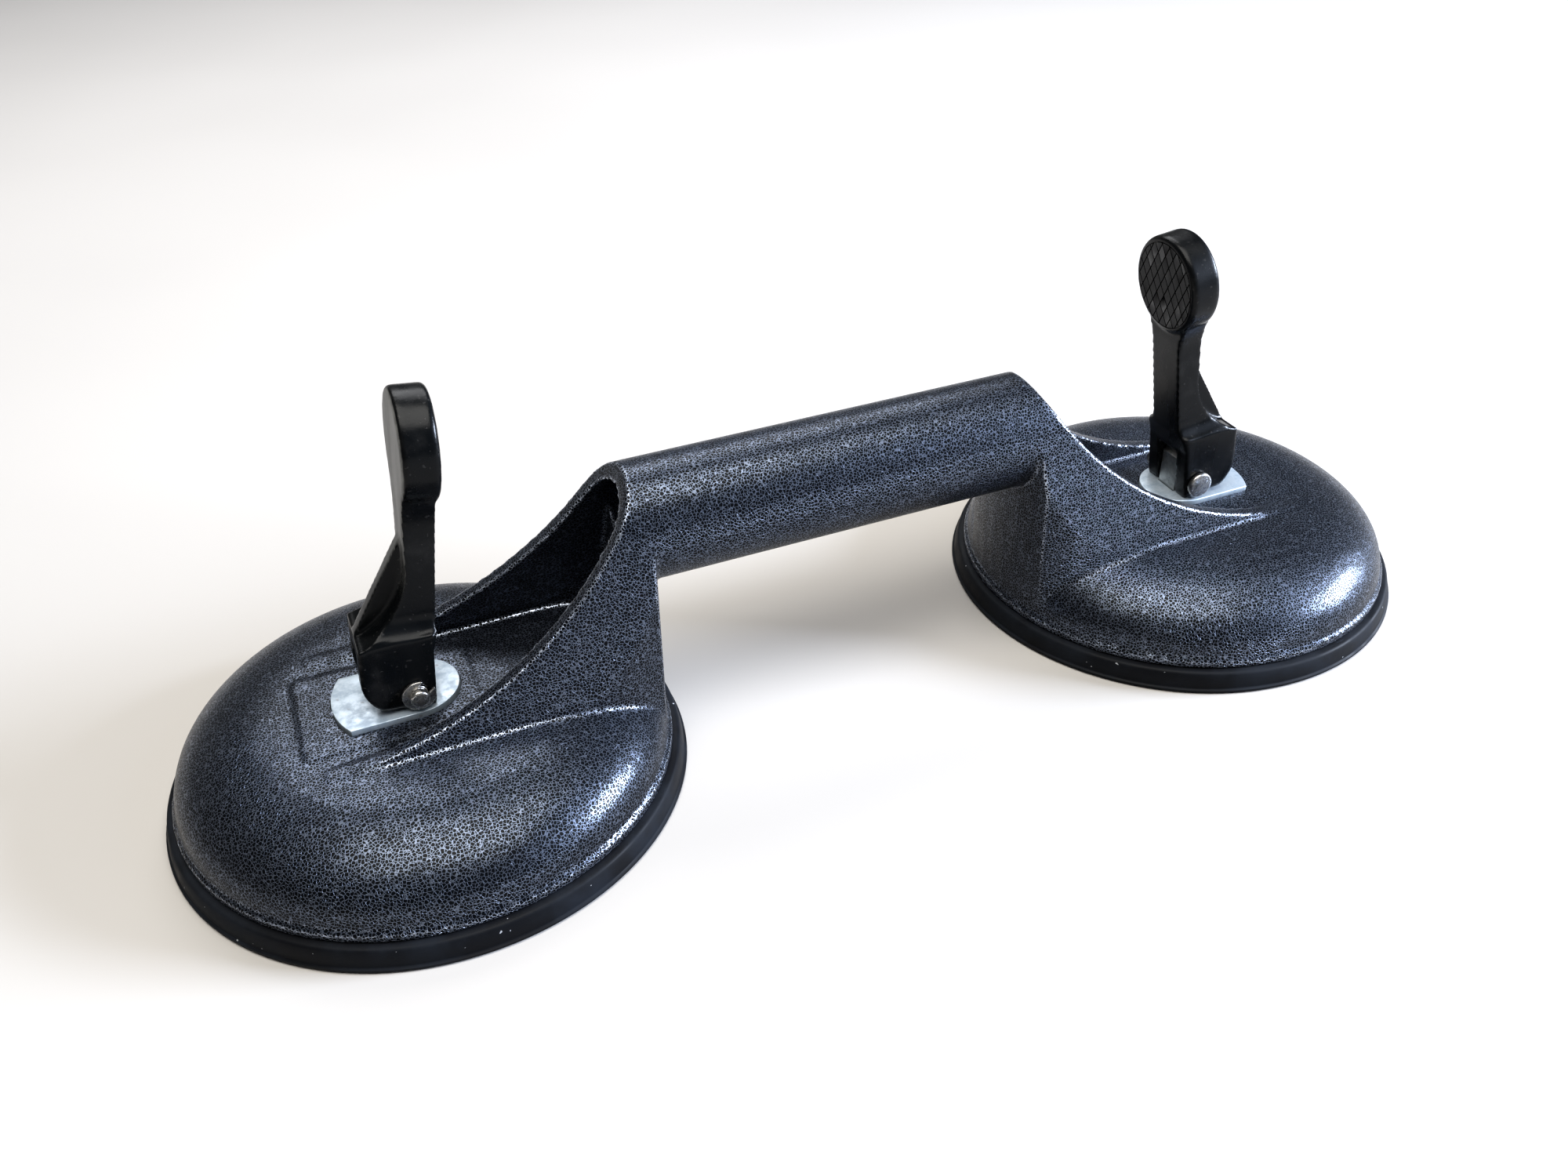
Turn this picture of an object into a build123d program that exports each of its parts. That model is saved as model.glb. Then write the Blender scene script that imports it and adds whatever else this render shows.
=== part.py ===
"""Twin-cup suction lifter: two rubber suction discs under one cast handle, each worked by a cam lever.

Millimetres. X runs along the handle, Z up from the glass, and the origin lies on the glass midway
between the cups. One suction unit is built about its own axis, with +X inboard, and is then placed
at the left end and, turned half round about Z, at the right end.
"""

from build123d import *
from math import cos, radians, sin
import os

# Layout
cup_spacing = 208.2
grip_axis_z = 54.9
grip_radius = 14.1
grip_wall = 3.6

# Rubber disc
pad_radius = 60.0
pad_thickness = 5.6
pad_edge_round = 0.9
pad_band = 14.0
pad_web = 3.2
pad_boss = 4.5
pad_recess = 0.8

# Cast disc
disc_inset = 4.1
disc_wall = 3.8
disc_rim_height = 3.0
disc_top_z = 24.0
disc_crown_radius = 31.0

# Pedestal and scoop between the disc and the grip
pedestal_half_width = 22.5
fin_wall = 3.6
pedestal_wall = 4.0
pedestal_flare = 1.6
pedestal_corner_inset = 12.9
pedestal_corner_half = 20.9
pedestal_end_inset = 2.7
pedestal_end_half = 17.2
scoop_tip = 22.5
scoop_tip_rise = 0.2
scoop_middle = (24.5, 38.6)
scoop_end_inset = 2.4
scoop_end_rise = 0.6

# Glide plate
plate_thickness = 2.0
plate_sink = 0.5
plate_half_width = 9.9
plate_end_radius = 18.6
plate_clearance = 0.3

# Stud and its disc in the rubber
stud_width = 6.8
stud_depth = 6.6
stud_above_pin = 7.0
stud_corner = 1.6
stud_flange_radius = 8.0
stud_flange = 2.0
slot_clearance = 0.2
body_slot_clearance = 0.9
insert_radius = 19.0
insert_thickness = 2.5
lift = 8.0

# Return spring
spring_radius = 12.0
spring_wire = 1.3
spring_turns = 2.5
spring_gap = 0.05
washer_thickness = 1.0
washer_radius = 14.5
washer_bore = 6.5

# Pin and clip
pin_radius = 2.1
pin_clearance = 0.05
pin_seat = 4.0
pin_head_lip = 1.4
pin_head = 1.3
pin_head_chamfer = 0.3
pin_side_gap = 0.2
clip_thickness = 0.8
clip_groove_depth = 0.5
clip_groove_clearance = 0.05
clip_lip = 1.6
clip_opening = 3.0
pin_tail = 1.6

# Lever
lever_lean = 7.0
block_half_depth = 8.3
block_rise = 14.5
block_side_gap = 0.4
block_slot_top = 9.2
block_edge_round = 0.8
cam_gap = 0.15
cam_flat_depth = 3.5
cam_flat_inset = 4.15
cam_corner_inset = 1.85
cam_corner_depth = 1.3
cam_face_start = 3.6
stem_half_depth = 5.5
stem_inboard_low = 5.0
stem_inboard_high = 6.4
stem_outboard = -0.6
flare_start = 31.0
flare_middle = (3.2, 20.6)
web_half_depth = 1.7
web_top = 38.5
thumb_centre = 57.0
thumb_half_height = 12.3
thumb_half_width = 11.7
thumb_inboard = 7.4
thumb_outboard = -0.5
thumb_edge_round = 1.2
neck_low = 42.5
neck_high = 49.0
foot_half_depth = 7.9
foot_middle = (6.2, 16.3)
foot_end = 19.5
shoulder_start = 38.5
shoulder_middle = (6.4, 44.5)
shoulder_end = (9.4, 50.5)

# Worked out
disc_radius = pad_radius - disc_inset
pedestal_top_radius = disc_radius + pedestal_flare
pedestal_corner = (disc_radius - pedestal_corner_inset, pedestal_corner_half)
pedestal_corner_end = (disc_radius - pedestal_end_inset, pedestal_end_half)
scoop_end = (disc_radius - scoop_end_inset, grip_axis_z + grip_radius + scoop_end_rise)
plate_top_z = disc_top_z - plate_sink + plate_thickness
pin_z = plate_top_z + pin_seat
pin_head_radius = pin_radius + pin_head_lip
clip_groove_radius = pin_radius - clip_groove_depth
clip_radius = pin_radius + clip_lip
cam_face = pin_seat + lift - cam_gap
cam_flat = cam_face - cam_flat_inset
cam_corner = (cam_face - cam_corner_inset, cam_corner_depth)
block_top_z = pin_z + block_rise
block_slot = stud_depth + 2.0 * block_side_gap
disc_shoulder_z = pad_thickness + disc_rim_height
cavity_top_z = disc_top_z - disc_wall
insert_top_z = pad_boss + insert_thickness
bore_radius = grip_radius - grip_wall
pin_face = block_half_depth + pin_side_gap
wide = 2.0 * (cup_spacing + pad_radius)


def outline(points):
    """Face in the XZ plane from (x, z) corners."""
    corners = [Vector(x, 0, z) for x, z in points]
    return Face(Wire.make_polygon(corners, close=True))


def slab(face, half_depth):
    """Solid of an XZ outline, the same depth to both sides of the XZ plane."""
    return extrude(face, half_depth, dir=(0, 1, 0), both=True)


def box(x0, x1, half_depth, z0, z1):
    return slab(outline([(x0, z0), (x1, z0), (x1, z1), (x0, z1)]), half_depth)


def turned(edges):
    """Solid of revolution about Z from the closed loop of edges in the XZ plane."""
    return revolve(Face(Wire(edges)), Axis.Z)


def bowl(radius, base_z, shoulder_z, top_z, crown_radius):
    """Upright rim, elliptic shoulder and flat crown, solid down to its base."""
    plane = Plane((crown_radius, 0, shoulder_z), x_dir=(1, 0, 0), z_dir=(0, -1, 0))
    shoulder = plane * EllipticalCenterArc(
        (0, 0), radius - crown_radius, top_z - shoulder_z, start_angle=0, arc_size=90)
    return turned([
        Line((0, 0, base_z), (radius, 0, base_z)),
        Line((radius, 0, base_z), (radius, 0, shoulder_z)),
        *shoulder.edges(),
        Line((crown_radius, 0, top_z), (0, 0, top_z)),
        Line((0, 0, top_z), (0, 0, base_z)),
    ])


def arch(radius, half_width, x0, x1):
    """Bar along X whose section is the grip's circle joined by tangents to a base on the disc's top."""
    circle = Pos(0, grip_axis_z) * CenterArc((0, 0), radius, 0, 360)
    base = Line((-half_width, disc_top_z), (half_width, disc_top_z))
    section = make_hull(circle.edges() + base.edges())
    plane = Plane((x0, 0, 0), x_dir=(0, 1, 0), z_dir=(1, 0, 0))
    return extrude(plane * section, x1 - x0)


def footprint(inset):
    """Upright prism round the pedestal: straight sides that round inwards before the inboard wall."""
    tail = (-scoop_tip - fin_wall, pedestal_half_width)
    bend = (disc_radius / 2.0, pedestal_half_width)
    head = (cup_spacing / 2.0, pedestal_end_half)
    sides = []
    for side in (1, -1):
        points = [(x, side * y) for x, y in (tail, bend, pedestal_corner, pedestal_corner_end, head)]
        sides.append(Line(points[0], points[1]))
        sides.append(ThreePointArc(points[1], points[2], points[3]))
        sides.append(Line(points[3], points[4]))
    ends = [Line((x, -y), (x, y)) for x, y in (tail, head)]
    face = Face(Wire(sides + ends))
    if inset:
        face = offset(face, -inset, kind=Kind.INTERSECTION)
    return Pos(0, 0, pad_thickness) * extrude(face, scoop_end[1], dir=(0, 0, 1))


def flaredDrum(low_radius, high_radius):
    """Cone about the cup axis, from the disc's base to above the grip."""
    height = grip_axis_z + 2.0 * grip_radius - pad_thickness
    return Pos(0, 0, pad_thickness) * Cone(
        low_radius, high_radius, height, align=(Align.CENTER, Align.CENTER, Align.MIN))


def scoopSide():
    """What lies under the concave line from the scoop's tip up to the end of the grip."""
    tip_z = disc_top_z + scoop_tip_rise
    top_z = scoop_end[1]
    middle = (scoop_middle[0], 0, scoop_middle[1])
    line = ThreePointArc((-scoop_tip, 0, tip_z), middle, (scoop_end[0], 0, top_z))
    loop = [
        *line.edges(),
        Line((scoop_end[0], 0, top_z), (cup_spacing, 0, top_z)),
        Line((cup_spacing, 0, top_z), (cup_spacing, 0, pad_thickness)),
        Line((cup_spacing, 0, pad_thickness), (-scoop_tip, 0, pad_thickness)),
        Line((-scoop_tip, 0, pad_thickness), (-scoop_tip, 0, tip_z)),
    ]
    return slab(Face(Wire(loop)), pad_radius)


def plateOutline(clearance):
    """Round inboard end, straight sides and an arc about the cup axis at the outboard end."""
    half = plate_half_width + clearance
    strip = Circle(half) + Pos(-plate_end_radius, 0) * Rectangle(2.0 * plate_end_radius, 2.0 * half)
    return strip & Circle(plate_end_radius + clearance)


def castUnit():
    """One end of the casting: disc, pedestal, and half of the grip."""
    half_length = cup_spacing / 2.0
    disc = bowl(disc_radius, pad_thickness, disc_shoulder_z, disc_top_z, disc_crown_radius)
    foot = box(-scoop_tip, half_length, pedestal_half_width, pad_thickness, disc_top_z)
    pedestal = arch(grip_radius, pedestal_half_width, -scoop_tip, half_length) + foot
    pedestal &= flaredDrum(disc_radius, pedestal_top_radius)
    pedestal &= footprint(0.0)
    pedestal &= scoopSide()
    grip = Pos(scoop_end[0], 0, grip_axis_z) * Rot(0, 90, 0) * Cylinder(
        grip_radius, half_length - scoop_end[0], align=(Align.CENTER, Align.CENTER, Align.MIN))
    solid = disc + pedestal + grip
    channel = arch(bore_radius, pedestal_half_width - fin_wall, -scoop_tip - fin_wall, half_length)
    channel &= flaredDrum(disc_radius - pedestal_wall, pedestal_top_radius - pedestal_wall)
    channel &= footprint(fin_wall)
    bore = Pos(0, 0, grip_axis_z) * Rot(0, 90, 0) * Cylinder(
        bore_radius, half_length, align=(Align.CENTER, Align.CENTER, Align.MIN))
    cavity = bowl(disc_radius - disc_wall, pad_thickness, disc_shoulder_z, cavity_top_z, disc_crown_radius)
    recess = Pos(0, 0, disc_top_z - plate_sink) * extrude(plateOutline(plate_clearance), plate_thickness)
    slot = box(-stud_width / 2.0 - body_slot_clearance, stud_width / 2.0 + body_slot_clearance,
               stud_depth / 2.0 + body_slot_clearance, pad_thickness, disc_top_z)
    return solid - channel - bore - cavity - recess - slot


def glidePlate():
    plate = Pos(0, 0, plate_top_z - plate_thickness) * extrude(plateOutline(0.0), plate_thickness)
    half = stud_width / 2.0 + slot_clearance
    return plate - box(-half, half, stud_depth / 2.0 + slot_clearance, 0.0, pin_z)


def rubberPad():
    """Thick outer band, thin web and a centre boss; the face is hollowed slightly inside the band."""
    band_radius = pad_radius - pad_band
    pad = Cylinder(pad_radius, pad_thickness, align=(Align.CENTER, Align.CENTER, Align.MIN))
    pad = fillet(pad.edges(), pad_edge_round)
    moat = Cylinder(band_radius, pad_thickness, align=(Align.CENTER, Align.CENTER, Align.MIN))
    moat -= Cylinder(insert_radius, pad_thickness, align=(Align.CENTER, Align.CENTER, Align.MIN))
    above_boss = Cylinder(band_radius, pad_thickness, align=(Align.CENTER, Align.CENTER, Align.MIN))
    hollow = Cylinder(band_radius, pad_recess, align=(Align.CENTER, Align.CENTER, Align.MIN))
    return pad - Pos(0, 0, pad_web) * moat - Pos(0, 0, pad_boss) * above_boss - hollow


def padInsert():
    return Pos(0, 0, pad_boss) * Cylinder(
        insert_radius, insert_thickness, align=(Align.CENTER, Align.CENTER, Align.MIN))


def stud():
    top_z = pin_z + stud_above_pin
    half = stud_width / 2.0
    tongue = slab(outline([
        (-half, insert_top_z), (half, insert_top_z), (half, top_z - stud_corner),
        (half - stud_corner, top_z), (stud_corner - half, top_z), (-half, top_z - stud_corner),
    ]), stud_depth / 2.0)
    flange = Pos(0, 0, insert_top_z) * Cylinder(
        stud_flange_radius, stud_flange, align=(Align.CENTER, Align.CENTER, Align.MIN))
    return tongue + flange - alongY(pin_radius + pin_clearance, -stud_depth, stud_depth)


def alongY(radius, y0, y1):
    """Cylinder about the pin's axis, from y0 to y1."""
    return Pos(0, y0, pin_z) * Rot(-90, 0, 0) * Cylinder(
        radius, y1 - y0, align=(Align.CENTER, Align.CENTER, Align.MIN))


def leverPin():
    """Round head on the far side, shank, clip groove and tail on the near side."""
    groove = -pin_face - clip_thickness
    shank = alongY(pin_radius, -pin_face, pin_face)
    neck = alongY(clip_groove_radius, groove, -pin_face)
    tail = alongY(pin_radius, groove - pin_tail, groove)
    head = alongY(pin_head_radius, pin_face, pin_face + pin_head)
    head = chamfer(head.edges().sort_by(Axis.Y)[-1], pin_head_chamfer)
    tail = chamfer(tail.edges().sort_by(Axis.Y)[0], pin_head_chamfer)
    return shank + neck + tail + head


def pinClip():
    """E-clip that sits in the pin's groove, open towards the upper inboard side."""
    y0 = -pin_face - clip_thickness
    ring = alongY(clip_radius, y0, -pin_face)
    ring -= alongY(clip_groove_radius + clip_groove_clearance, y0, -pin_face)
    mouth = box(0.0, 2.0 * clip_radius, wide, -clip_opening / 2.0, clip_opening / 2.0)
    return ring - Pos(0, 0, pin_z) * Rot(0, -45, 0) * mouth


def springWasher():
    ring = Cylinder(washer_radius, washer_thickness, align=(Align.CENTER, Align.CENTER, Align.MAX))
    ring -= Cylinder(washer_bore, washer_thickness, align=(Align.CENTER, Align.CENTER, Align.MAX))
    return Pos(0, 0, cavity_top_z) * ring


def returnSpring():
    low = insert_top_z + spring_wire / 2.0 + spring_gap
    high = cavity_top_z - washer_thickness - spring_wire / 2.0 - spring_gap
    coil = Helix(pitch=(high - low) / spring_turns, height=high - low, radius=spring_radius)
    section = Plane(origin=coil @ 0, z_dir=coil % 0) * Circle(spring_wire / 2.0)
    return Pos(0, 0, low) * sweep(section, path=coil)


def blockTop(x):
    """Height over the pin, in the lever's own frame, of the ledge that is level when the lever leans."""
    rise = block_top_z - pin_z
    lean = radians(lever_lean)
    return (rise + x * sin(lean)) / cos(lean)


def leverBlock():
    """Cam block round the pin, slotted for the stud."""
    loop = [
        Line((pin_seat, 0, -cam_flat_depth), (-cam_flat, 0, -cam_flat_depth)),
        ThreePointArc((-cam_flat, 0, -cam_flat_depth), (-cam_corner[0], 0, -cam_corner[1]),
                      (-cam_face, 0, cam_face_start)),
        Line((-cam_face, 0, cam_face_start), (-cam_face, 0, blockTop(-cam_face))),
        Line((-cam_face, 0, blockTop(-cam_face)), (pin_seat, 0, blockTop(pin_seat))),
        Line((pin_seat, 0, blockTop(pin_seat)), (pin_seat, 0, -cam_flat_depth)),
    ]
    block = slab(Face(Wire(loop)), block_half_depth)
    slot = box(-wide, wide, block_slot / 2.0, -wide, block_slot_top)
    return block - slot


def stemFront(foot):
    """Prism along X: the stem seen end on, spreading to the block below and to the thumb pad above."""
    sides = []
    for side in (1, -1):
        low = (side * foot_half_depth, blockTop(0.0))
        waist = (side * stem_half_depth, foot_end)
        neck = (side * stem_half_depth, shoulder_start)
        high = (side * shoulder_end[0], shoulder_end[1])
        sides.append(Line((low[0], foot), low))
        sides.append(ThreePointArc(low, (side * foot_middle[0], foot_middle[1]), waist))
        sides.append(Line(waist, neck))
        sides.append(ThreePointArc(neck, (side * shoulder_middle[0], shoulder_middle[1]), high))
        sides.append(Line(high, (high[0], thumb_centre)))
    ends = [Line((-half, level), (half, level))
            for half, level in ((foot_half_depth, foot), (shoulder_end[0], thumb_centre))]
    plane = Plane((0, 0, 0), x_dir=(0, 1, 0), z_dir=(1, 0, 0))
    return extrude(plane * Face(Wire(sides + ends)), wide, both=True)


def leverStem():
    """Stem with its flare down to the block, and the web on its outboard side."""
    foot = block_slot_top + 1.0
    top = thumb_centre
    flare_end = (-cam_face + block_edge_round, blockTop(-cam_face))
    flare = ThreePointArc((stem_outboard, 0, flare_start), (-flare_middle[0], 0, flare_middle[1]),
                          (flare_end[0], 0, flare_end[1]))
    loop = [
        *flare.edges(),
        Line((flare_end[0], 0, flare_end[1]), (flare_end[0], 0, foot)),
        Line((flare_end[0], 0, foot), (stem_inboard_low - 1.0, 0, foot)),
        Line((stem_inboard_low - 1.0, 0, foot), (stem_inboard_low, 0, blockTop(pin_seat))),
        Line((stem_inboard_low, 0, blockTop(pin_seat)), (stem_inboard_high, 0, neck_low)),
        Line((stem_inboard_high, 0, neck_low), (thumb_inboard - 1.0, 0, neck_high)),
        Line((thumb_inboard - 1.0, 0, neck_high), (thumb_inboard - 1.0, 0, top)),
        Line((thumb_inboard - 1.0, 0, top), (thumb_outboard, 0, top)),
        Line((thumb_outboard, 0, top), (stem_outboard, 0, flare_start)),
    ]
    stem = slab(Face(Wire(loop)), block_half_depth + stem_half_depth) & stemFront(foot)
    web = slab(outline([(stem_outboard + 1.0, web_top), (-cam_face, blockTop(-cam_face)),
                        (-cam_face, foot), (0.0, foot)]), web_half_depth)
    return stem + web


def thumbPad():
    """Oval pad across the top of the stem."""
    plane = Plane((thumb_outboard, 0, thumb_centre), x_dir=(0, 1, 0), z_dir=(1, 0, 0))
    oval = plane * Ellipse(thumb_half_width, thumb_half_height)
    pad = extrude(oval, thumb_inboard - thumb_outboard)
    return fillet(pad.edges().filter_by(GeomType.ELLIPSE), thumb_edge_round)


def lever():
    solid = leverBlock() + leverStem() + thumbPad()
    placed = Pos(0, 0, pin_z) * Rot(0, lever_lean, 0) * solid
    return placed - alongY(pin_radius + pin_clearance, -wide, wide)


def atLeft(shape):
    return Pos(-cup_spacing / 2.0, 0, 0) * shape


def atRight(shape):
    return Rot(0, 0, 180) * atLeft(shape)


unit_parts = {
    "lever": lever,
    "lever_pin": leverPin,
    "pin_clip": pinClip,
    "glide_plate": glidePlate,
    "stud": stud,
    "pad_insert": padInsert,
    "rubber_pad": rubberPad,
    "return_spring": returnSpring,
    "spring_washer": springWasher,
}

os.makedirs("parts", exist_ok=True)
unit = castUnit()
export_step(atLeft(unit) + atRight(unit), "parts/handle_body.step")
for name, make in unit_parts.items():
    piece = make()
    export_step(atLeft(piece), f"parts/left_{name}.step")
    export_step(atRight(piece), f"parts/right_{name}.step")
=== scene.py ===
import math

import bpy
import numpy as np
from mathutils import Matrix, Vector


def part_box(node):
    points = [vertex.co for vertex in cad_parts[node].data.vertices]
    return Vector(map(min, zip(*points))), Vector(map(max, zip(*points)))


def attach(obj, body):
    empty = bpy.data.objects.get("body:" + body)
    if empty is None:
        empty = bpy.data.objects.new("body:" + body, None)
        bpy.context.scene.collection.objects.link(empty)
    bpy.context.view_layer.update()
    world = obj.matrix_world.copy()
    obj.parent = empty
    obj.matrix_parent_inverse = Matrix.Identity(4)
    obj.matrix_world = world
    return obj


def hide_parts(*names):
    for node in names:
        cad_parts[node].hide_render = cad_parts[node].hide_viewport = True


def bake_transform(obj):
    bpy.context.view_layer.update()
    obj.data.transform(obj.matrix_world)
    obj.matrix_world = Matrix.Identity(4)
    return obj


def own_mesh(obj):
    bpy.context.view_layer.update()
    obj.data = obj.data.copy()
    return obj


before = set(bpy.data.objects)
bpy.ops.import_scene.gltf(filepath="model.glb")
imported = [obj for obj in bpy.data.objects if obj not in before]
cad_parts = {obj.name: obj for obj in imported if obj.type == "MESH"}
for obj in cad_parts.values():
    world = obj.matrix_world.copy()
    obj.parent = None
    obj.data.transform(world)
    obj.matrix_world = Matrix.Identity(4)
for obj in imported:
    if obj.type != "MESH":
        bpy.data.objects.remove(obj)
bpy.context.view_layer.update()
mm = 0.001
print("frame loaded:", len(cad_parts), "nodes")


# Small helpers for objects

def pick(*objects):
    bpy.ops.object.select_all(action="DESELECT")
    for obj in objects:
        obj.select_set(True)
    bpy.context.view_layer.objects.active = objects[0]


def modify(obj, kind, **settings):
    pick(obj)
    modifier = obj.modifiers.new(kind, kind)
    for name, value in settings.items():
        setattr(modifier, name, value)
    bpy.ops.object.modifier_apply(modifier=modifier.name)


def editMesh(obj, *steps):
    # runs mesh operators on the whole of obj in edit mode
    pick(obj)
    bpy.ops.object.mode_set(mode="EDIT")
    bpy.ops.mesh.select_all(action="SELECT")
    for step in steps:
        step()
    bpy.ops.object.mode_set(mode="OBJECT")


def settle(obj, name):
    # puts the object's place into its mesh, so patterns on object coordinates stay in the frame
    pick(obj)
    bpy.ops.object.transform_apply(location=True, rotation=True, scale=True)
    obj.name = name
    obj.data.name = name
    return obj


def smoothShade(obj, degrees):
    pick(obj)
    bpy.ops.object.shade_smooth_by_angle(angle=math.radians(degrees))


def nodeCopy(node, name):
    # a merged free copy of a CAD node, which is left as it is
    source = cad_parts[node]
    copy = bpy.data.objects.new(name, source.data.copy())
    bpy.context.scene.collection.objects.link(copy)
    copy.data.materials.clear()
    pick(copy)
    bpy.ops.mesh.customdata_custom_splitnormals_clear()
    editMesh(copy, lambda: bpy.ops.mesh.remove_doubles(threshold=0.002 * mm))
    return copy


def joined(*objects):
    pick(*objects)
    bpy.ops.object.join()
    return objects[0]


def turnedCopy(obj, name):
    # the other end's piece: the same shape turned half round about Z, with its own mesh
    copy = bpy.data.objects.new(name, obj.data.copy())
    bpy.context.scene.collection.objects.link(copy)
    copy.data.transform(Matrix.Rotation(math.pi, 4, "Z"))
    copy.data.name = name
    return copy


# Small helpers for materials

def linear(hexColour):
    # sRGB hex to the linear colour that shader sockets take
    parts = [int(hexColour[i:i + 2], 16) / 255 for i in (1, 3, 5)]
    return [p / 12.92 if p <= 0.04045 else ((p + 0.055) / 1.055) ** 2.4 for p in parts] + [1.0]


def addNode(tree, kind, inputs=None, **properties):
    node = tree.nodes.new("ShaderNode" + kind)
    for name, value in properties.items():
        setattr(node, name, value)
    for name, value in (inputs or {}).items():
        if isinstance(value, bpy.types.NodeSocket):
            tree.links.new(value, node.inputs[name])
        else:
            node.inputs[name].default_value = value
    return node


def newMaterial(name, **settings):
    # returns the material, its tree, its shader and the object coordinates
    material = bpy.data.materials.new(name)
    material.use_nodes = True
    tree = material.node_tree
    shader = tree.nodes["Principled BSDF"]
    for socket, value in settings.items():
        shader.inputs[socket.replace("_", " ")].default_value = value
    place = addNode(tree, "TexCoord").outputs["Object"]
    return material, tree, shader, place


def noise(tree, place, sizeMm, detail=2.0, roughness=0.5):
    return addNode(tree, "TexNoise", {"Vector": place, "Scale": 1000 / sizeMm, "Detail": detail,
                                      "Roughness": roughness}).outputs["Fac"]


def stretched(tree, place, scale, turn=(0, 0, 0)):
    return addNode(tree, "Mapping", {"Vector": place, "Scale": scale, "Rotation": turn}).outputs["Vector"]


def between(tree, value, low, high, toLow=0.0, toHigh=1.0):
    # smooth step from toLow to toHigh as value goes from low to high
    return addNode(tree, "MapRange", {"Value": value, "From Min": low, "From Max": high, "To Min": toLow,
                                      "To Max": toHigh}, interpolation_type="SMOOTHSTEP").outputs["Result"]


def math2(tree, operation, a, b):
    return addNode(tree, "Math", {0: a, 1: b}, operation=operation).outputs["Value"]


def mixed(tree, factor, a, b):
    node = addNode(tree, "Mix", {0: factor, 6: a, 7: b}, data_type="RGBA")
    return node.outputs[2]


def bumped(tree, shader, height, depthMm, below=None):
    inputs = {"Height": height, "Distance": depthMm * mm, "Strength": 1.0}
    if below is not None:
        inputs["Normal"] = below
    normal = addNode(tree, "Bump", inputs).outputs["Normal"]
    tree.links.new(normal, shader.inputs["Normal"])
    return normal


# Materials

# the lighter second silver is a painted highlight, laid along sharp edges and in creases
enamel = dict(cell="#020305", vein="#575e6b", highlightVein="#b4bccb", cellMm=0.70, patchMm=3.5, swirlMm=0.9,
              swirlBy=0.45, unevenMm=3.2, unevenBy=0.10, bumpMm=0.05)


def makeHammerEnamel():
    # silver veins round dark cells, thicker and brighter where the casting bends sharply: a painted highlight
    # along its edges and in its creases
    material, tree, shader, place = newMaterial("enamel_hammertone_sprayed")
    swirl = addNode(tree, "TexNoise", {"Vector": place, "Scale": 1000 / enamel["swirlMm"],
                                       "Detail": 1.5}).outputs["Color"]
    moved = addNode(tree, "VectorMath", {0: swirl, 1: [enamel["swirlBy"] * mm] * 3, 2: place},
                    operation="MULTIPLY_ADD").outputs["Vector"]
    cells = {"Vector": moved, "Scale": 1000 / enamel["cellMm"], "Randomness": 0.95}
    edge = addNode(tree, "TexVoronoi", cells, feature="DISTANCE_TO_EDGE").outputs["Distance"]
    far = addNode(tree, "TexVoronoi", dict(cells, Smoothness=0.3), feature="SMOOTH_F1").outputs["Distance"]
    patch = noise(tree, place, enamel["patchMm"], 2.0)
    bend = addNode(tree, "Attribute", attribute_name="bend").outputs["Fac"]
    # painted highlight mask: high along sharp edges and in creases alike
    edgeHighlight = between(tree, math2(tree, "ABSOLUTE", bend, 0.0), 0.04, 0.14)
    width = between(tree, patch, 0.3, 0.7, 0.032, 0.058)
    width = math2(tree, "ADD", width, math2(tree, "MULTIPLY", edgeHighlight, 0.03))
    rounded = between(tree, far, 0.15, 0.55, -0.02, 0.022)
    level = math2(tree, "SUBTRACT", math2(tree, "ADD", width, rounded), edge)
    vein = between(tree, level, -0.02, 0.02)
    # the veins' silver, lightened into the painted highlight on edges and in creases
    silver = mixed(tree, edgeHighlight, linear(enamel["vein"]), linear(enamel["highlightVein"]))
    colour = mixed(tree, vein, linear(enamel["cell"]), silver)
    tree.links.new(colour, shader.inputs["Base Color"])
    tree.links.new(between(tree, vein, 0.0, 1.0, 0.0, 0.9), shader.inputs["Metallic"])
    tree.links.new(between(tree, vein, 0.0, 1.0, 0.32, 0.29), shader.inputs["Roughness"])
    shader.inputs["Specular IOR Level"].default_value = 0.06
    first = bumped(tree, shader, noise(tree, place, enamel["unevenMm"], 1.0), enamel["unevenBy"])
    bumped(tree, shader, vein, enamel["bumpMm"], first)
    return material


# the grey colour is a painted reflection on the upper outboard face; the two heights in mm are where it
# starts and where it is full
plastic = dict(base="#040506", dust="#242322", paintedSheen="#6f6f6d", sheenFrom=52, sheenFull=75)


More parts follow.
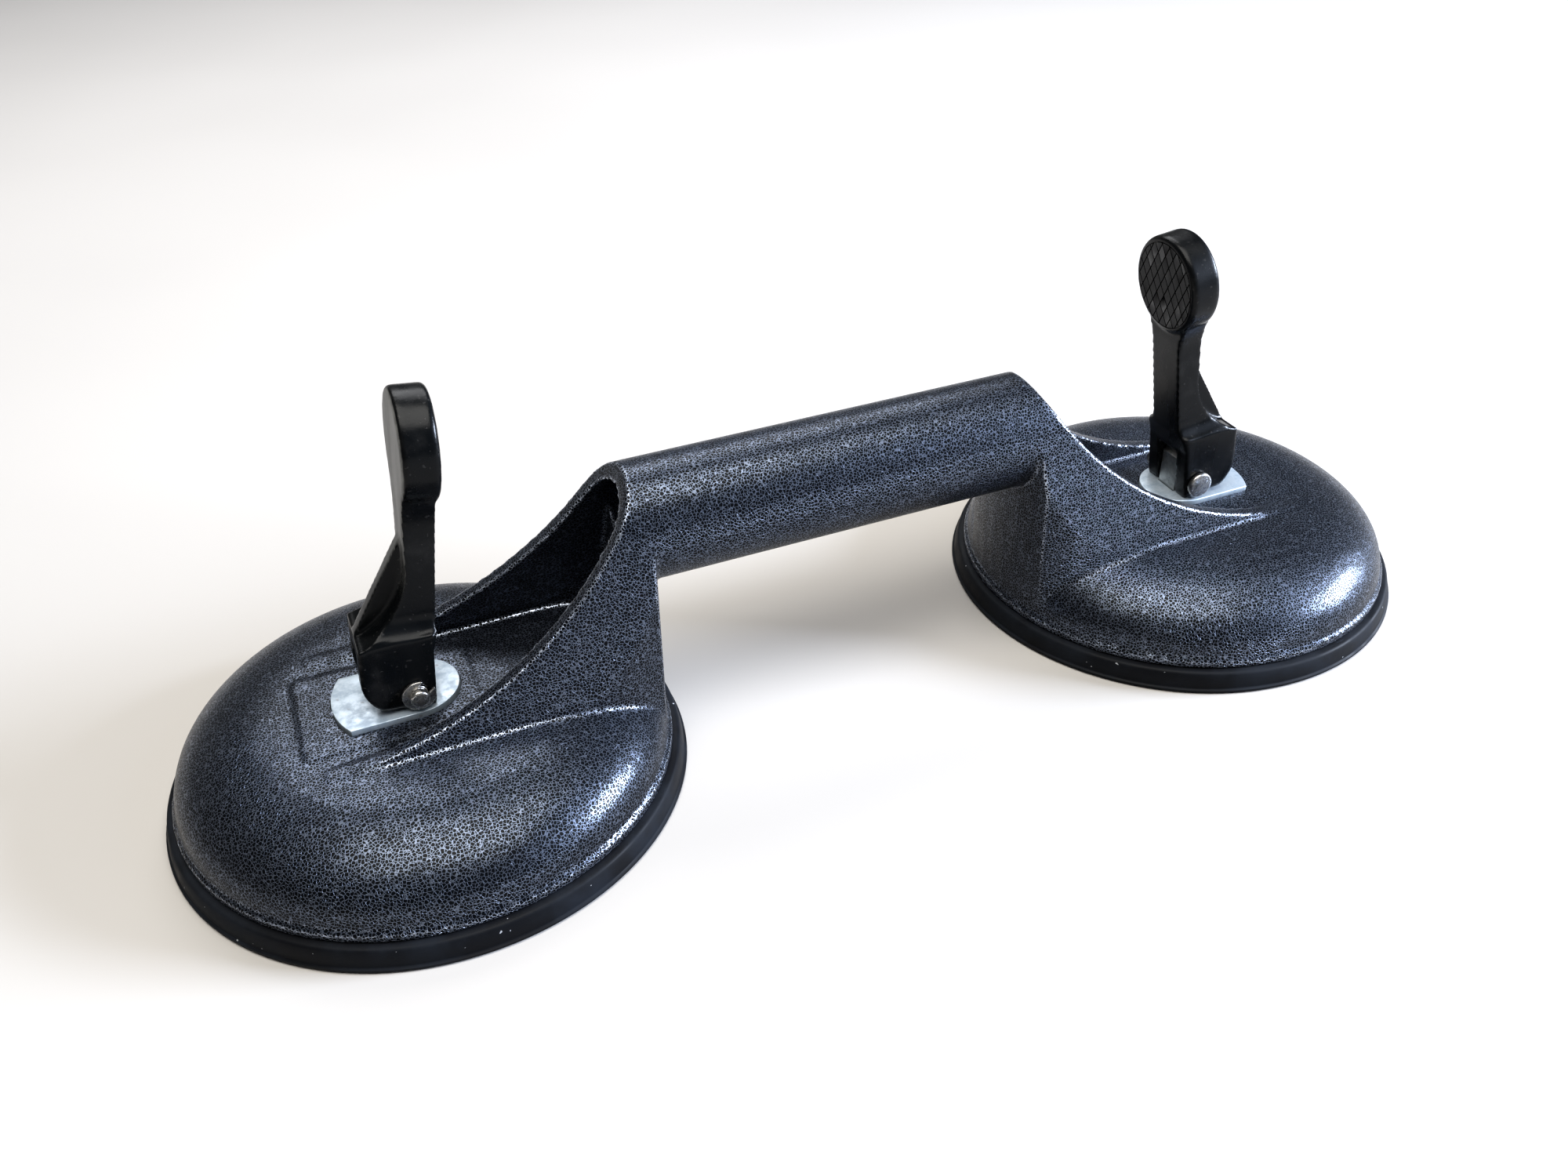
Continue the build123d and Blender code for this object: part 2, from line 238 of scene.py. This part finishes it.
def makeLeverPlastic():
    # satin black nylon with faint flow marks, hairline scratches and a little dust, and a grey painted
    # reflection on the outboard face, fading in between the two given heights in mm above the glass
    material, tree, shader, place = newMaterial("plastic_nylon_moulded", Coat_Weight=0.04,
                                                Coat_Roughness=0.25)
    flow = noise(tree, stretched(tree, place, (1, 1, 0.25)), 5.0, 3.0)
    grain = noise(tree, place, 0.35, 2.0)
    upward = stretched(tree, place, (1, 1, 0.06), (0.5, 0.2, 0))
    scratch = between(tree, noise(tree, upward, 0.5, 1.0), 0.72, 0.80)
    specks = between(tree, noise(tree, place, 0.8, 0.0), 0.76, 0.80)
    film = between(tree, noise(tree, place, 9.0, 4.0, 0.6), 0.50, 0.75, 0.0, 0.30)
    facing = addNode(tree, "SeparateXYZ", {0: addNode(tree, "NewGeometry").outputs["Normal"]}).outputs["X"]
    where = addNode(tree, "SeparateXYZ", {0: place}).outputs
    outboard = math2(tree, "MULTIPLY", facing, math2(tree, "SIGN", where["X"], 0.0))
    height = between(tree, where["Z"], plastic["sheenFrom"] * mm, plastic["sheenFull"] * mm)
    # painted reflection: surfaces facing outboard, above the given height
    sheenSide = math2(tree, "MULTIPLY", between(tree, outboard, 0.6, 0.9), height)
    cloud = between(tree, noise(tree, place, 3.0, 5.0, 0.7), 0.35, 0.65, 0.5, 1.0)
    paintedSheen = math2(tree, "MULTIPLY", sheenSide, cloud)
    dust = math2(tree, "MAXIMUM", film, math2(tree, "MULTIPLY", specks, 0.6))
    dusted = mixed(tree, dust, linear(plastic["base"]), linear(plastic["dust"]))
    # the painted reflection's grey laid over the dusted black
    tree.links.new(mixed(tree, paintedSheen, dusted, linear(plastic["paintedSheen"])), shader.inputs["Base Color"])
    rough = between(tree, flow, 0.3, 0.7, 0.22, 0.34)
    rough = math2(tree, "ADD", rough, math2(tree, "MULTIPLY", scratch, 0.15))
    rough = math2(tree, "ADD", rough, math2(tree, "MULTIPLY", paintedSheen, 0.25))
    tree.links.new(rough, shader.inputs["Roughness"])
    shader.inputs["Specular IOR Level"].default_value = 0.09
    bumped(tree, shader, math2(tree, "ADD", grain, scratch), 0.012)
    return material


rubber = dict(base="#07080b", bloom="#12151a", lint="#8b8d90")


def makePadRubber():
    # matt moulded rubber with a grey bloom, fine grain and lint
    material, tree, shader, place = newMaterial("rubber_nitrile_moulded")
    bloom = between(tree, noise(tree, place, 16.0, 4.0, 0.6), 0.35, 0.70)
    lint = between(tree, noise(tree, place, 0.9, 0.0), 0.86, 0.88)
    base = mixed(tree, bloom, linear(rubber["base"]), linear(rubber["bloom"]))
    tree.links.new(mixed(tree, lint, base, linear(rubber["lint"])), shader.inputs["Base Color"])
    tree.links.new(between(tree, bloom, 0.0, 1.0, 0.50, 0.68), shader.inputs["Roughness"])
    shader.inputs["Specular IOR Level"].default_value = 0.07
    first = bumped(tree, shader, noise(tree, place, 2.5, 2.0), 0.03)
    bumped(tree, shader, noise(tree, place, 0.3, 2.0), 0.012, first)
    return material


steelSpot = "#7c7f84"


def makeSteel(name, base, stain, roughLow, roughHigh, grain, grainMm, depthMm=0.006, mottleMm=2.5, metal=1.0):
    # bare or plated steel: a mottled finish with a directional grain
    material, tree, shader, place = newMaterial(name, Metallic=metal)
    mottle = noise(tree, place, mottleMm, 4.0, 0.6)
    lines = noise(tree, stretched(tree, place, grain), grainMm, 2.0)
    spot = between(tree, noise(tree, place, 1.6, 1.0), 0.70, 0.78, 0.0, 0.7)
    colour = mixed(tree, between(tree, mottle, 0.35, 0.7), linear(base), linear(stain))
    tree.links.new(mixed(tree, spot, colour, linear(steelSpot)), shader.inputs["Base Color"])
    tree.links.new(between(tree, mottle, 0.3, 0.7, roughLow, roughHigh), shader.inputs["Roughness"])
    bumped(tree, shader, lines, depthMm)
    return material


hammerEnamel = makeHammerEnamel()
leverPlastic = makeLeverPlastic()
padRubber = makePadRubber()
# the zinc plate is rolled along the handle, the tongue milled upright, the pins turned
zincPlate = makeSteel("steel_zinc_plated", "#a6b1ba", "#87949f", 0.30, 0.50, (0.08, 1, 1), 0.3, metal=0.55)
tongueSteel = makeSteel("steel_milled", "#b5b6b4", "#8f918f", 0.34, 0.50, (1, 1, 0.08), 0.25, 0.010)
turnedSteel = makeSteel("steel_turned", "#c6c4c0", "#96928d", 0.20, 0.36, (0.1, 1, 0.1), 0.12, 0.010, 1.2)
springSteel = makeSteel("steel_spring_drawn", "#9a9c9f", "#6e7073", 0.30, 0.45, (1, 1, 1), 0.3)
print("materials made")


# Camera

camera = dict(place=(-113.809, -247.471, 217.024), azimuth=-22.134, elevation=35.688, roll=-1.661,
              lens=30.463)


def addCamera():
    azimuth, elevation, roll = (math.radians(camera[k]) for k in ("azimuth", "elevation", "roll"))
    back = Vector((math.sin(azimuth) * math.cos(elevation), -math.cos(azimuth) * math.cos(elevation),
                   math.sin(elevation)))
    side = Vector((0, 0, 1)).cross(back).normalized()
    up = back.cross(side)
    rolledSide = side * math.cos(roll) + up * math.sin(roll)
    rolledUp = up * math.cos(roll) - side * math.sin(roll)
    data = bpy.data.cameras.new("camera")
    data.lens = camera["lens"]
    data.sensor_width = 36
    data.clip_start = 0.01
    obj = bpy.data.objects.new("camera", data)
    bpy.context.scene.collection.objects.link(obj)
    turn = Matrix((rolledSide, rolledUp, back)).transposed().to_4x4()
    obj.matrix_world = Matrix.Translation(Vector(camera["place"]) * mm) @ turn
    bpy.context.scene.camera = obj


addCamera()


# Lights and floor

studio = dict(world="#a6a6a6", worldPower=0.25, floor="#a5a19c", floorShade="#a19d98", floorMm=300)
softboxes = {
    "window": dict(azimuth=71, elevation=19, far=1.6, size=(0.62, 0.32), power=115.0, colour="#dbe8ff"),
    "curtain": dict(azimuth=60, elevation=32, far=1.0, size=(0.95, 0.60), power=3.5, colour="#cfe0ff"),
    "back": dict(azimuth=172, elevation=48, far=1.1, size=(0.9, 0.5), power=10.0, colour="#fbfcff"),
    "top": dict(azimuth=-20, elevation=78, far=1.2, size=(1.1, 0.9), power=26.0, colour="#fffdf8"),
}


def addSoftbox(name, azimuth, elevation, far, size, power, colour):
    az, el = math.radians(azimuth), math.radians(elevation)
    out = Vector((math.sin(az) * math.cos(el), -math.cos(az) * math.cos(el), math.sin(el)))
    data = bpy.data.lights.new(name, "AREA")
    data.shape = "RECTANGLE"
    data.size, data.size_y = size
    data.energy = power
    data.color = linear(colour)[:3]
    obj = bpy.data.objects.new(name, data)
    bpy.context.scene.collection.objects.link(obj)
    obj.location = out * far + Vector((0, 0, 0.03))
    obj.rotation_euler = out.to_track_quat("Z", "Y").to_euler()


def addStudio():
    for name, values in softboxes.items():
        addSoftbox(name, **values)
    world = bpy.data.worlds.new("studio")
    bpy.context.scene.world = world
    world.use_nodes = True
    background = world.node_tree.nodes["Background"]
    background.inputs["Color"].default_value = linear(studio["world"])
    background.inputs["Strength"].default_value = studio["worldPower"]
    bpy.ops.mesh.primitive_plane_add(size=8, location=(0, 0, -0.02 * mm))
    floor = settle(bpy.context.active_object, "floor")
    material, tree, shader, place = newMaterial("paper_matt_rolled", Roughness=0.9, Specular_IOR_Level=0.1)
    tone = between(tree, noise(tree, place, studio["floorMm"], 2.0), 0.3, 0.7)
    colour = mixed(tree, tone, linear(studio["floor"]), linear(studio["floorShade"]))
    tree.links.new(colour, shader.inputs["Base Color"])
    floor.data.materials.append(material)
    bpy.context.scene.view_settings.view_transform = "Standard"


addStudio()
print("camera, lights and floor made")


# Casting

casting = dict(voxel=0.6, smooth=3, triangles=190000, ledge=1.05, ledgeZ=7.9, flatHalf=(19.5, 14.5),
               flatIn=6.5, flatRise=0.4, plateRoom=(1.022, 1.036, 1.2))
discRadius, cupX, crownZ, padTop = 55.9, 104.1, 24.0, 5.6


def addRimLedge(x):
    # narrow step with a rounded top edge, low on the disc's shoulder
    low, high = padTop + 0.05, casting["ledgeZ"]
    bpy.ops.mesh.primitive_cylinder_add(vertices=192, radius=(discRadius + casting["ledge"]) * mm,
                                        depth=(high - low) * mm, location=(x * mm, 0, (high + low) / 2 * mm),
                                        end_fill_type="NOTHING")
    ledge = settle(bpy.context.active_object, "rimLedge")
    modify(ledge, "SOLIDIFY", thickness=3 * mm, offset=-1)
    return ledge


def addPlateFlat(x, inward):
    # low raised flat that the glide plate is let into
    halfX, halfY = casting["flatHalf"]
    top = crownZ + casting["flatRise"]
    middle = x - inward * casting["flatIn"]
    bpy.ops.mesh.primitive_cube_add(size=1, location=(middle * mm, 0, (top - 1.5) * mm),
                                    scale=(2 * halfX * mm, 2 * halfY * mm, 3 * mm))
    flat = settle(bpy.context.active_object, "plateFlat")
    modify(flat, "BEVEL", width=3 * mm, segments=4, affect="VERTICES")
    return flat


def markBend(obj):
    # stores how sharply the surface bends at each point: above 0 in a hollow, below 0 on an edge
    mesh = obj.data
    count = len(mesh.vertices)
    place, normal = np.zeros(count * 3), np.zeros(count * 3)
    mesh.vertices.foreach_get("co", place)
    mesh.vertex_normals.foreach_get("vector", normal)
    place, normal = place.reshape(-1, 3), normal.reshape(-1, 3)
    ends = np.zeros(len(mesh.edges) * 2, int)
    mesh.edges.foreach_get("vertices", ends)
    a, b = ends.reshape(-1, 2).T
    along = place[b] - place[a]
    along /= np.linalg.norm(along, axis=1)[:, None] + 1e-12
    shares = np.bincount(a, minlength=count) + np.bincount(b, minlength=count)
    shares = np.maximum(shares, 1)
    bend = np.bincount(a, (normal[a] * along).sum(1), count)
    bend -= np.bincount(b, (normal[b] * along).sum(1), count)
    bend /= shares
    for _ in range(2):
        nearby = np.bincount(a, bend[b], count) + np.bincount(b, bend[a], count)
        bend = (bend + nearby / shares) / 2
    attribute = mesh.attributes.new("bend", "FLOAT", "POINT")
    attribute.data.foreach_set("value", bend.astype(np.float32))


def makeCasting():
    body = nodeCopy("handle_body", "handle_casting")
    extras = []
    for x, inward in ((-cupX, 1), (cupX, -1)):
        extras += [addRimLedge(x), addPlateFlat(x, inward)]
    joined(body, *extras)
    modify(body, "REMESH", mode="VOXEL", voxel_size=casting["voxel"] * mm)
    modify(body, "SMOOTH", factor=0.5, iterations=casting["smooth"])
    markBend(body)
    modify(body, "DECIMATE", ratio=casting["triangles"] / (2 * len(body.data.polygons)))
    for end in ("left", "right"):
        cutter = nodeCopy(f"{end}_glide_plate", "cutter")
        middle = sum(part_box(f"{end}_glide_plate"), Vector()) / 2
        grow = Matrix.Diagonal((*casting["plateRoom"], 1))
        cutter.data.transform(Matrix.Translation(middle) @ grow @ Matrix.Translation(-middle))
        modify(body, "BOOLEAN", operation="DIFFERENCE", object=cutter, solver="EXACT")
        bpy.data.objects.remove(cutter)
    smoothShade(body, 50)
    body.data.materials.append(hammerEnamel)
    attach(body, "root")
    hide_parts("handle_body")
    print("casting made:", len(body.data.polygons), "faces")


makeCasting()


# Levers

lever = dict(voxel=0.42, smooth=4, lean=7.0, pinX=-104.1, pinZ=29.5)
thumb = dict(face=7.4, height=57.0, half=(10.4, 11.0), gap=0.26, depth=0.7, groove=0.30, grooveDepth=0.40,
             diamond=(2.9, 5.2), bars=6)


def leverPlace(x, y, z):
    # from the left lever's own axes, in mm, to the frame
    turn = Matrix.Rotation(math.radians(lever["lean"]), 4, "Y")
    pin = Matrix.Translation((lever["pinX"] * mm, 0, lever["pinZ"] * mm))
    return pin @ turn @ Matrix.Translation(Vector((x, y, z)) * mm)


def addOval(halfY, halfZ, x0, x1, name):
    # upright elliptic disc facing along the lever's own x axis
    bpy.ops.mesh.primitive_cylinder_add(vertices=128, radius=1, depth=1)
    disc = bpy.context.active_object
    size = Matrix.Diagonal(((x1 - x0) * mm, halfY * mm, halfZ * mm, 1))
    upright = Matrix.Rotation(math.pi / 2, 4, "Y")
    disc.data.transform(leverPlace((x0 + x1) / 2, 0, thumb["height"]) @ size @ upright)
    return settle(disc, name)


def addGrooveBars():
    # crossed bars at the pitch of the diamonds, to be cut out of the thumb inlay
    across, high = thumb["diamond"]
    pitch = across * high / math.hypot(across, high)
    bars = []
    for sign in (1, -1):
        for i in range(-thumb["bars"], thumb["bars"]):
            bpy.ops.mesh.primitive_cube_add(size=1)
            bar = bpy.context.active_object
            size = Matrix.Diagonal((2 * thumb["grooveDepth"] * mm, 40 * mm, thumb["groove"] * mm, 1))
            lift = Matrix.Translation((0, 0, (i + 0.5) * pitch * mm))
            turn = Matrix.Rotation(sign * math.atan2(high, across), 4, "X")
            bar.data.transform(leverPlace(thumb["face"], 0, thumb["height"]) @ turn @ lift @ size)
            bars.append(bar)
    return joined(*bars)


def makeInlay(name):
    # oval thumb face with raised diamonds
    halfY, halfZ = thumb["half"]
    gap, face = thumb["gap"], thumb["face"]
    inlay = addOval(halfY - gap, halfZ - gap, face - thumb["depth"], face, name)
    bars = addGrooveBars()
    modify(inlay, "BOOLEAN", operation="DIFFERENCE", object=bars, solver="EXACT", use_self=True)
    bpy.data.objects.remove(bars)
    modify(inlay, "BEVEL", width=0.10 * mm, segments=2, limit_method="ANGLE", angle_limit=math.radians(50))
    smoothShade(inlay, 40)
    inlay.data.materials.append(leverPlastic)
    return inlay


def makeLevers():
    left = nodeCopy("left_lever", "left_lever_moulding")
    modify(left, "REMESH", mode="VOXEL", voxel_size=lever["voxel"] * mm)
    modify(left, "SMOOTH", factor=0.5, iterations=lever["smooth"])
    pocket = addOval(*thumb["half"], thumb["face"] - thumb["depth"], thumb["face"] + 2, "pocket")
    modify(left, "BOOLEAN", operation="DIFFERENCE", object=pocket, solver="EXACT")
    bpy.data.objects.remove(pocket)
    smoothShade(left, 40)
    left.data.materials.append(leverPlastic)
    inlay = makeInlay("left_thumb_inlay")
    right, rightInlay = turnedCopy(left, "right_lever_moulding"), turnedCopy(inlay, "right_thumb_inlay")
    for moulding, face, end in ((left, inlay, "left"), (right, rightInlay, "right")):
        for piece in (moulding, face):
            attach(piece, f"{end}_lever_body")
        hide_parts(f"{end}_lever")
    print("levers made:", len(left.data.polygons), "faces,", len(inlay.data.polygons), "in the thumb face")


makeLevers()


# Rubber discs

# profiles of (radius, height) in mm: the ring that stays with the casting, and the web inside it
band = [(46.0, 0.8), (47.2, 0.25), (50.0, 0.0), (55.2, 0.0), (55.6, 0.35), (56.1, 0.35), (56.5, 0.0),
        (58.9, 0.0), (59.7, 0.15), (60.0, 0.55), (59.95, 1.0), (59.55, 1.25), (59.4, 1.45),
        (59.42, 1.7), (59.1, 3.6), (58.75, 4.9), (58.45, 5.35), (58.0, 5.56), (57.2, 5.6), (46.6, 5.6),
        (46.1, 5.4), (46.0, 5.0)]
web = [(0.0, 3.2), (19.0, 3.2), (22.0, 3.0), (46.0, 0.8), (46.0, 1.9), (22.5, 4.2), (20.0, 4.5), (0.0, 4.5)]


def lathe(points, x, name, closed):
    # spins a profile round the cup's axis
    mesh = bpy.data.meshes.new(name)
    places = [(x * mm + r * mm, 0, z * mm) for r, z in points]
    edges = [(i, i + 1) for i in range(len(points) - 1)] + ([(len(points) - 1, 0)] if closed else [])
    mesh.from_pydata(places, edges, [])
    obj = bpy.data.objects.new(name, mesh)
    bpy.context.scene.collection.objects.link(obj)
    editMesh(obj,
             lambda: bpy.ops.mesh.spin(steps=144, angle=2 * math.pi, center=(x * mm, 0, 0), axis=(0, 0, 1)),
             lambda: bpy.ops.mesh.select_all(action="SELECT"),
             lambda: bpy.ops.mesh.remove_doubles(threshold=0.001 * mm),
             lambda: bpy.ops.mesh.normals_make_consistent(inside=False))
    return obj


def makePads():
    for end, x in (("left", -cupX), ("right", cupX)):
        ring = lathe(band, x, f"{end}_rubber_band", True)
        smoothShade(ring, 50)
        ring.data.materials.append(padRubber)
        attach(ring, "root")
        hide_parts(f"{end}_rubber_pad")
        middle = lathe(web, x, f"{end}_rubber_web", False)
        smoothShade(middle, 50)
        middle.data.materials.append(padRubber)
        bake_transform(middle)
    print("rubber discs made")


makePads()


# Springs, plates and small steel parts

small = {
    "glide_plate": dict(body="root", slot="zinc_plate", material=zincPlate, edge=0.30),
    "stud": dict(body="lift_body", slot="stud_steel", material=tongueSteel, edge=0.25),
    "lever_pin": dict(body="lift_body", slot="pin_steel", material=turnedSteel, edge=0.22),
    "pin_clip": dict(body="lift_body", slot="spring_steel", material=turnedSteel, edge=0.14),
}


def makeSmallParts():
    for part, values in small.items():
        for end in ("left", "right"):
            piece = nodeCopy(f"{end}_{part}", f"{end}_{part}_finished")
            editMesh(piece, lambda: bpy.ops.mesh.dissolve_limited(angle_limit=math.radians(1)))
            modify(piece, "BEVEL", width=values["edge"] * mm, segments=3, limit_method="ANGLE",
                   angle_limit=math.radians(40))
            smoothShade(piece, 35)
            piece.data.materials.append(values["material"])
            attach(piece, "root" if values["body"] == "root" else f"{end}_{values['body']}")
            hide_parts(f"{end}_{part}")


def makeSprings():
    for end, x in (("left", -cupX), ("right", cupX)):
        coil = nodeCopy(f"{end}_return_spring", f"{end}_spring_coil")
        smoothShade(coil, 40)
        coil.data.materials.append(springSteel)
        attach(coil, "root")
        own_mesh(coil)
        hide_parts(f"{end}_return_spring")


def finishNodes():
    # the hidden insert and washer stay as CAD nodes, zinc plated
    for end in ("left", "right"):
        for part in ("pad_insert", "spring_washer"):
            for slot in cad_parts[f"{end}_{part}"].material_slots:
                slot.material = zincPlate


makeSmallParts()
makeSprings()
finishNodes()
print("small parts made")
